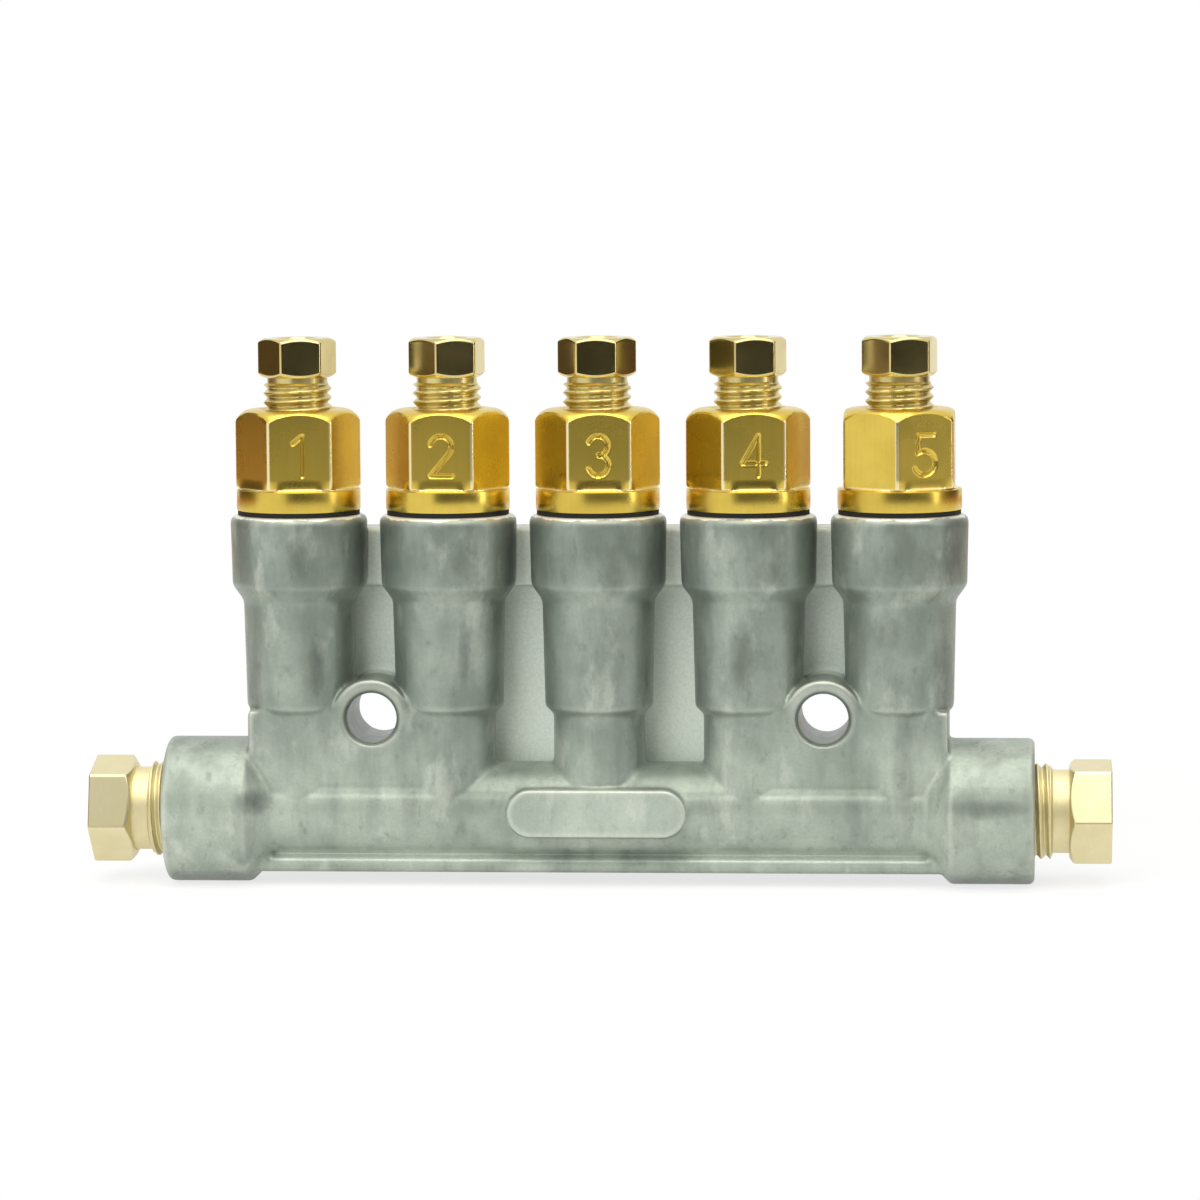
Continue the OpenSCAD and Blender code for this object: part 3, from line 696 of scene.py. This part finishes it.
def valve_body(i):
    around, radii = hexagon(VALVE_HEX, CORNER_ROUND, VALVE_TURNS[i - 1], fine=61)
    low, high, collar_r = COLLAR
    outside = softened([
        (3.2, 12.9, 0), (4.25, 12.9, 0.1), (4.25, 27.0, 0), (5.45, 27.0, 0), (5.95, 27.5, 0),
        (5.95, low, 0), (collar_r, low, 0.2), (collar_r, high - 0.15, 0.12), (collar_r - 0.3, high - 0.08, 0)])
    inside = softened([
        (VALVE_FLAT, VALVE_TOP, 0), (4.45, VALVE_TOP, 0.08), (4.0, VALVE_TOP - 0.45, 0), (4.0, 38.0, 0),
        (2.1, 36.1, 0), (2.1, 35.0, 0), (1.23, 35.0, 0), (1.23, 33.1, 0), (2.7, 33.1, 0), (2.7, 25.85, 0),
        (3.2, 25.85, 0)])
    widest = np.minimum(radii + FILLET, collar_r - 0.32)
    foot = [(widest, high), (0.3 * widest + 0.7 * radii, high + 0.3 * FILLET), (radii, high + FILLET)]
    top = hexagon_end(radii, VALVE_TOP, 1, VALVE_FLAT, VALVE_CHAMFER, VALVE_BOW)
    rings = outside + foot + numeral_rings(i, around, radii, VALVE_TURNS[i - 1]) + top + inside
    rings = [(np.asarray(radius) * MM, np.asarray(height) * MM) for radius, height in rings]
    obj = skin(f"valve_{i}", around, rings, valve_brass)
    # The fillet under the hexagon and its corners are marked paler, partly wear and partly a painted
    # highlight.
    wear_and_highlight = np.zeros((len(rings), len(around)))
    wear_and_highlight[len(outside):len(outside) + 2] = 1
    wear_and_highlight[len(outside) + 2:-len(inside) - len(SHOULDER), radii > radii.max() - 0.04] = 1
    mark(obj, "wear_and_highlight", wear_and_highlight)
    settle(obj, on_outlet(i))
    return obj


valves = {}
for i in outlet_numbers:
    valves[i] = valve_body(i)
    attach(valves[i], "manifold")
    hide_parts(f"valve_body_{i}")
print("valves:", len(valves), "with", len(valves[1].data.polygons), "faces each")

# %% [markdown]
# ## A rule for screw threads
# A thread is a V groove that climbs one pitch in each turn. That is a rule, not a drawing, so a Geometry
# Nodes tree cuts it: the angle and the height of each point give its phase along the helix, and the point
# moves in by the depth of the groove there. The rings of the shank only have to lie close together.

# %% Thread rule
def painted_end(tree, geometry, material):
    """Ends a tree: instances become a real mesh, and the mesh gets its finish."""
    real = add(tree, "GeometryNodeRealizeInstances", {0: geometry}).outputs[0]
    painted = add(tree, "GeometryNodeSetMaterial", {"Geometry": real, "Material": material}).outputs[0]
    tree.links.new(painted, add(tree, "NodeGroupOutput").inputs[0])


def thread_rule():
    tree = bpy.data.node_groups.new("thread_rule", "GeometryNodeTree")
    tree.interface.new_socket("Geometry", in_out="OUTPUT", socket_type="NodeSocketGeometry")
    tree.interface.new_socket("Geometry", in_out="INPUT", socket_type="NodeSocketGeometry")
    for name in ("Pitch", "Depth", "Outer radius", "Low end", "High end"):
        tree.interface.new_socket(name, in_out="INPUT", socket_type="NodeSocketFloat")
    tree.interface.new_socket("Material", in_out="INPUT", socket_type="NodeSocketMaterial")
    given = add(tree, "NodeGroupInput").outputs
    place = add(tree, "GeometryNodeInputPosition").outputs[0]
    x, y, z = add(tree, "ShaderNodeSeparateXYZ", {0: place}).outputs
    turns = calc(tree, "DIVIDE", calc(tree, "ARCTAN2", y, x), 2 * math.pi)
    phase = calc(tree, "FRACT", calc(tree, "SUBTRACT", calc(tree, "DIVIDE", z, given["Pitch"]), turns))
    wave = calc(tree, "ABSOLUTE", calc(tree, "SUBTRACT", calc(tree, "MULTIPLY", phase, 2.0), 1.0))
    groove = spread(tree, wave, 0.14, 0.86)
    radius = calc(tree, "SQRT", calc(tree, "ADD", product(tree, x, x), product(tree, y, y)))
    on_shank = calc(tree, "GREATER_THAN", radius, calc(tree, "MULTIPLY", given["Outer radius"], 0.985))
    run_in = calc(tree, "MULTIPLY", given["Pitch"], 0.35)
    rise = spread(tree, z, given["Low end"], calc(tree, "ADD", given["Low end"], run_in))
    fall = spread(tree, z, given["High end"], calc(tree, "SUBTRACT", given["High end"], run_in))
    depth = product(tree, rise, fall, groove, on_shank, given["Depth"])
    inward = product(tree, calc(tree, "DIVIDE", depth, radius), -1.0)
    offset = add(tree, "ShaderNodeCombineXYZ", {0: product(tree, x, inward), 1: product(tree, y, inward)})
    moved = add(tree, "GeometryNodeSetPosition", {"Geometry": given["Geometry"], "Offset": offset.outputs[0]})
    painted_end(tree, moved.outputs[0], given["Material"])
    return tree


def run_rule(obj, tree, **sizes):
    """Runs a node tree on an object with its named inputs and keeps the result as a plain mesh."""
    modifier = obj.modifiers.new(tree.name, "NODES")
    modifier.node_group = tree
    for item in tree.interface.items_tree:
        key = item.name.replace(" ", "_").lower()
        if item.in_out == "INPUT" and key in sizes:
            modifier[item.identifier] = sizes[key]
    return evaluated_mesh(obj)


screw_thread = thread_rule()
print("thread rule:", len(screw_thread.nodes), "nodes")

# %% [markdown]
# ## Compression nuts
# An outlet nut and an inlet nut are the same thing in two sizes: a hexagon with turned chamfers, a relief
# under it, and a threaded shank that presses on the ferrule. The inlet nuts are sawn off plain at the
# outer end. The shank gets sixteen rings to each turn of its thread.

# %% Nuts
THREAD_PITCH, THREAD_DEPTH = 1.06, 0.42
RINGS_PER_PITCH = 16
NUT_CHAMFER = 30


def fitting_nut(name, place, material, turn, *, base, width, height, neck_r, neck_len, thread_r, end,
                bore_r, mouth_r, plain_end=False):
    """A screwed nut about +Z whose hexagon starts at height base and whose shank ends at height end."""
    around, radii = hexagon(width, CORNER_ROUND * 0.8, turn)
    flat = width / 2 - 0.15
    top, neck = base + height, base - neck_len
    bevel = end + 0.5
    shank = [(thread_r, z, 0) for z in np.arange(bevel, neck - 0.3, THREAD_PITCH / RINGS_PER_PITCH)]
    outside = softened(
        [(mouth_r, end, 0), (thread_r - 0.5, end, 0.05)] + shank +
        [(thread_r, neck - 0.25, 0), (neck_r, neck, 0), (neck_r, base - 0.02, 0), (flat - 0.3, base, 0)])
    inside = softened([
        (flat - 0.1, top, 0), (bore_r + 0.35, top, 0.05), (bore_r, top - 0.35, 0),
        (bore_r, end + mouth_r - bore_r, 0)])
    low_end = hexagon_end(radii, base, -1, flat, NUT_CHAMFER)
    high_end = hexagon_end(radii, top, 1, None if plain_end else flat, NUT_CHAMFER)
    rings = outside + low_end[::-1] + high_end + inside
    rings = [(np.asarray(radius) * MM, np.asarray(level) * MM) for radius, level in rings]
    obj = skin(name, around, rings, material)
    run_rule(obj, screw_thread, pitch=THREAD_PITCH * MM, depth=THREAD_DEPTH * MM,
             outer_radius=thread_r * MM, low_end=end * MM, high_end=neck * MM, material=material)
    points = np.empty(len(obj.data.vertices) * 3)
    obj.data.vertices.foreach_get("co", points)
    mark(obj, "turned", points[2::3] < base * MM)
    settle(obj, place, 34)
    return obj


NUT_TURNS = (13, 21, 2, 15, 19)
INLET_TURNS = {-1: 15, 1: 24}
OUTLET_NUT = dict(base=50.65, width=8.0, height=4.55, neck_r=3.5, neck_len=0.6, thread_r=3.95, end=42.07,
                  bore_r=2.1, mouth_r=2.95)
SUPPLY_NUT = dict(base=54.6, width=11.0, height=4.9, neck_r=4.85, neck_len=1.9, thread_r=5.55, end=43.62,
                  bore_r=3.1, mouth_r=4.2, plain_end=True)
for i in outlet_numbers:
    nut = fitting_nut(f"nut_{i}", on_outlet(i), nut_brass, NUT_TURNS[i - 1], **OUTLET_NUT)
    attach(nut, f"nut_{i}")
    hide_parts(f"outlet_nut_{i}")
for side, word in ((-1, "left"), (1, "right")):
    turn = -side * INLET_TURNS[side]
    nut = fitting_nut(f"supply_nut_{word}", on_end(side), inlet_brass, turn, **SUPPLY_NUT)
    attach(nut, f"{word}_nut")
    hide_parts(f"inlet_nut_{word}")
print("nuts:", len(outlet_numbers) + 2, "the last with", len(nut.data.polygons), "faces")

# %% [markdown]
# ## Return springs
# The springs hide inside the valves, but a section or an open pose shows them. A spring follows a rule as
# well: a spiral whose first and last turns lie closed. Three clamped ramps give its height, and a small
# circle swept along it makes the wire.

# %% Springs
SPRING_TURNS, SPRING_R, WIRE = 7, 2.25, 0.5
SPRING_LOW, SPRING_HIGH, PISTON_STROKE = 19.0, 33.05, 6.0


def spring_rule():
    tree = bpy.data.node_groups.new("spring_rule", "GeometryNodeTree")
    tree.interface.new_socket("Geometry", in_out="OUTPUT", socket_type="NodeSocketGeometry")
    tree.interface.new_socket("Geometry", in_out="INPUT", socket_type="NodeSocketGeometry")
    for name in ("Turns", "Coil radius", "Wire", "Length"):
        tree.interface.new_socket(name, in_out="INPUT", socket_type="NodeSocketFloat")
    tree.interface.new_socket("Foot", in_out="INPUT", socket_type="NodeSocketVector")
    tree.interface.new_socket("Material", in_out="INPUT", socket_type="NodeSocketMaterial")
    given = add(tree, "NodeGroupInput").outputs
    spiral = add(tree, "GeometryNodeCurveSpiral", {
        "Resolution": 24, "Rotations": given["Turns"], "Start Radius": given["Coil radius"],
        "End Radius": given["Coil radius"], "Height": 1.0}).outputs[0]
    place = add(tree, "GeometryNodeInputPosition").outputs[0]
    x, y, z = add(tree, "ShaderNodeSeparateXYZ", {0: place}).outputs
    turn = calc(tree, "MULTIPLY", z, given["Turns"])
    last = calc(tree, "SUBTRACT", given["Turns"], 1.0)
    first_rise = spread(tree, turn, 0.0, 1.0, calc(tree, "MULTIPLY", given["Wire"], 0.5),
                        calc(tree, "MULTIPLY", given["Wire"], 1.5))
    open_rise = spread(tree, turn, 1.0, last, 0.0,
                       calc(tree, "SUBTRACT", given["Length"], calc(tree, "MULTIPLY", given["Wire"], 3.0)))
    last_rise = spread(tree, turn, last, given["Turns"], 0.0, given["Wire"])
    height = calc(tree, "ADD", calc(tree, "ADD", first_rise, open_rise), last_rise)
    raised = add(tree, "ShaderNodeCombineXYZ", {0: x, 1: y, 2: height}).outputs[0]
    coil = add(tree, "GeometryNodeSetPosition", {"Geometry": spiral, "Position": raised}).outputs[0]
    round_wire = add(tree, "GeometryNodeCurvePrimitiveCircle", {
        "Resolution": 10, "Radius": calc(tree, "MULTIPLY", given["Wire"], 0.5)}).outputs[0]
    wire = add(tree, "GeometryNodeCurveToMesh",
               {"Curve": coil, "Profile Curve": round_wire, "Fill Caps": True}).outputs[0]
    stood = add(tree, "GeometryNodeTransform", {"Geometry": wire, "Translation": given["Foot"]}).outputs[0]
    painted_end(tree, stood, given["Material"])
    return tree


coil_spring = spring_rule()
spring_len = SPRING_HIGH - SPRING_LOW
for i in outlet_numbers:
    obj = new_piece(f"spring_{i}", bpy.data.meshes.new(f"spring_{i}"), spring_steel)
    foot = on_outlet(i) @ Vector((0, 0, SPRING_LOW * MM))
    run_rule(obj, coil_spring, turns=float(SPRING_TURNS), coil_radius=SPRING_R * MM, wire=WIRE * MM,
             length=spring_len * MM, foot=foot, material=spring_steel)
    obj.data.shade_smooth()
    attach(obj, "manifold")
    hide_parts(f"return_spring_{i}")
    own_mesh(obj)
print("springs:", len(outlet_numbers), "with", len(obj.data.polygons), "faces each")

# %% [markdown]
# ## The pieces that stay as solids
# Seals, ferrules, pistons, risers and check valves are simple turned or moulded pieces whose solids are
# already right. They keep their meshes and take their finishes here.

# %% Finishes of the small parts
finishes = {"sealing_washer": black_rubber, "check_valve": black_rubber, "riser_tube": inner_brass,
            "piston": inner_brass, "outlet_ferrule": inner_brass, "inlet_ferrule": inner_brass}
dressed = 0
for name, obj in frame["nodes"].items():
    for kind, material in finishes.items():
        if name.startswith(kind):
            obj.data.materials.clear()
            obj.data.materials.append(material)
            dressed += 1
print("solids with a finish:", dressed)

# %% [markdown]
# ## Floor and ground
# The block stands on a white floor in front of a white ground. Lighting them until they are white would
# bleach the block as well, so they show white by their own colour, and only to the eye and to reflections.
# The floor glows less near the block, where it keeps the shadow.

# %% Floor and world
FLOOR_HALF = 3.0


def seen_rays(tree):
    """1 for rays from the eye, from a reflection or through glass, 0 for light that falls on things."""
    rays = add(tree, "ShaderNodeLightPath").outputs
    mirrored = calc(tree, "MAXIMUM", rays["Is Glossy Ray"], rays["Is Transmission Ray"])
    return calc(tree, "MAXIMUM", rays["Is Camera Ray"], mirrored)


def floor_finish():
    material, tree, shader, place = new_finish("floor_white", 0.0)
    tone = spread(tree, speckle(tree, place, 40, detail=2), 0.3, 0.7, 0.0, 1.0)
    color = blend_colors(tree, tone, rgb(248, 248, 247), rgb(251, 251, 251))
    dress(tree, shader, color, spread(tree, tone, 0.0, 1.0, 0.78, 0.82), tone, 0.00001, 0.05)
    flat = add(tree, "ShaderNodeMapping", {"Vector": place, "Scale": (0.6, 1, 0)}).outputs[0]
    away = add(tree, "ShaderNodeVectorMath", {0: flat}, operation="LENGTH").outputs["Value"]
    share = product(tree, seen_rays(tree), spread(tree, away, 0.02, 0.12, 0.72, 1.0))
    glow = add(tree, "ShaderNodeEmission", {"Color": (1, 1, 1, 1), "Strength": 1.0}).outputs[0]
    both = add(tree, "ShaderNodeMixShader", {0: share, 1: shader.outputs[0], 2: glow}).outputs[0]
    output = next(node for node in tree.nodes if node.type == "OUTPUT_MATERIAL")
    tree.links.new(both, output.inputs["Surface"])
    return material


def sheet(name, half_w, half_h, level=0.0):
    mesh = bpy.data.meshes.new(name)
    corners = ((-1, -1), (1, -1), (1, 1), (-1, 1))
    mesh.from_pydata([(x * half_w, y * half_h, level) for x, y in corners], [], [(0, 1, 2, 3)])
    return mesh


floor_z = cad_box[0][2] - 0.05 * MM
floor = new_piece("floor", sheet("floor", FLOOR_HALF, FLOOR_HALF, floor_z), floor_finish())

world = bpy.data.worlds.new("white_ground")
scene.world = world
world.use_nodes = True
world_tree = world.node_tree
world_tree.nodes.clear()
ground = blend_colors(world_tree, seen_rays(world_tree), (0.45, 0.46, 0.47, 1), (1, 1, 1, 1))
background = add(world_tree, "ShaderNodeBackground", {"Color": ground, "Strength": 1.0})
world_tree.links.new(background.outputs[0], add(world_tree, "ShaderNodeOutputWorld").inputs[0])
print("floor at", round(floor_z / MM, 2), "mm")

# %% [markdown]
# ## Lamps and cards
# Three soft boxes light the block. Brass only looks like brass when it has something dark to reflect, so
# dark cards stand in front, on the right and beside the block. Only reflections see them: the flats that
# look at the camera go deep, while the edges and the chamfers still catch the soft boxes and stay bright.
# At the sides, amber cards between darker ones warm the flats that look away.

# %% Lamps and cards
def card(name, size, location, target, color):
    """A flat card that faces a target and that shows in reflections only."""
    material, _, shader, _ = new_finish(name, 0.0)
    shader.inputs["Base Color"].default_value = color
    shader.inputs["Roughness"].default_value = 0.9
    obj = new_piece(name, sheet(name, size[0] / 2, size[1] / 2), material)
    obj.location = location
    obj.rotation_euler = (Vector(location) - Vector(target)).to_track_quat("Z", "Y").to_euler()
    obj.visible_camera = obj.visible_diffuse = obj.visible_transmission = obj.visible_shadow = False
    return obj


def soft_box(name, location, target, width, height, watts):
    data = bpy.data.lights.new(name, "AREA")
    data.shape = "RECTANGLE"
    data.size, data.size_y, data.energy = width, height, watts
    lamp = bpy.data.objects.new(name, data)
    scene.collection.objects.link(lamp)
    lamp.location = location
    lamp.rotation_euler = (Vector(location) - Vector(target)).to_track_quat("Z", "Y").to_euler()
    return lamp


soft_box("top_box", (0.0, -0.20, 0.55), aim, 0.7, 0.66, 3.2).data.color = (1.0, 0.97, 0.87)
soft_box("left_box", (-0.27, -0.48, 0.16), aim, 0.45, 0.45, 2.9).visible_glossy = False
soft_box("right_strip", (0.5, -0.15, 0.12), aim, 0.06, 0.4, 0.35)
dark, brown = rgb(40, 38, 33), rgb(70, 56, 36)
amber, shade = rgb(214, 142, 58), rgb(58, 66, 60)
card("front_card", (0.43, 0.146), (0.095, -0.30, 0.067), (0.095, 0, 0.067), dark)
card("right_card", (0.17, 0.18), (0.355, -0.23, 0.05), (0, 0, 0.05), dark)
FLAG_AWAY, FLAG_END, FLAG_BACK = 0.335, 133, 165
FLAG_LEVELS = (-0.04, -0.012, 0.006, 0.22)


def flag(name, side, start, end, low, high, color):
    """A card on one side of the block, between two angles from the front and two heights."""
    turn = math.radians(side * (start + end) / 2)
    middle = (FLAG_AWAY * math.sin(turn), -FLAG_AWAY * math.cos(turn), (low + high) / 2)
    width = 2 * FLAG_AWAY * math.tan(math.radians((end - start) / 2))
    card(name, (width, high - low), middle, (0, 0, middle[2]), color)


for side, name, start in ((-1, "left", 77), (1, "right", 75)):
    floor_level, low, high, top = FLAG_LEVELS
    flag(f"{name}_high", side, start, FLAG_END, high, top, brown)
    flag(f"{name}_middle", side, start, FLAG_END, low, high, amber)
    flag(f"{name}_low", side, start, FLAG_END, floor_level, low, shade)
    flag(f"{name}_back", side, FLAG_END, FLAG_BACK, low, high, amber)
print("stage ready with", len(bpy.data.lights), "lamps")
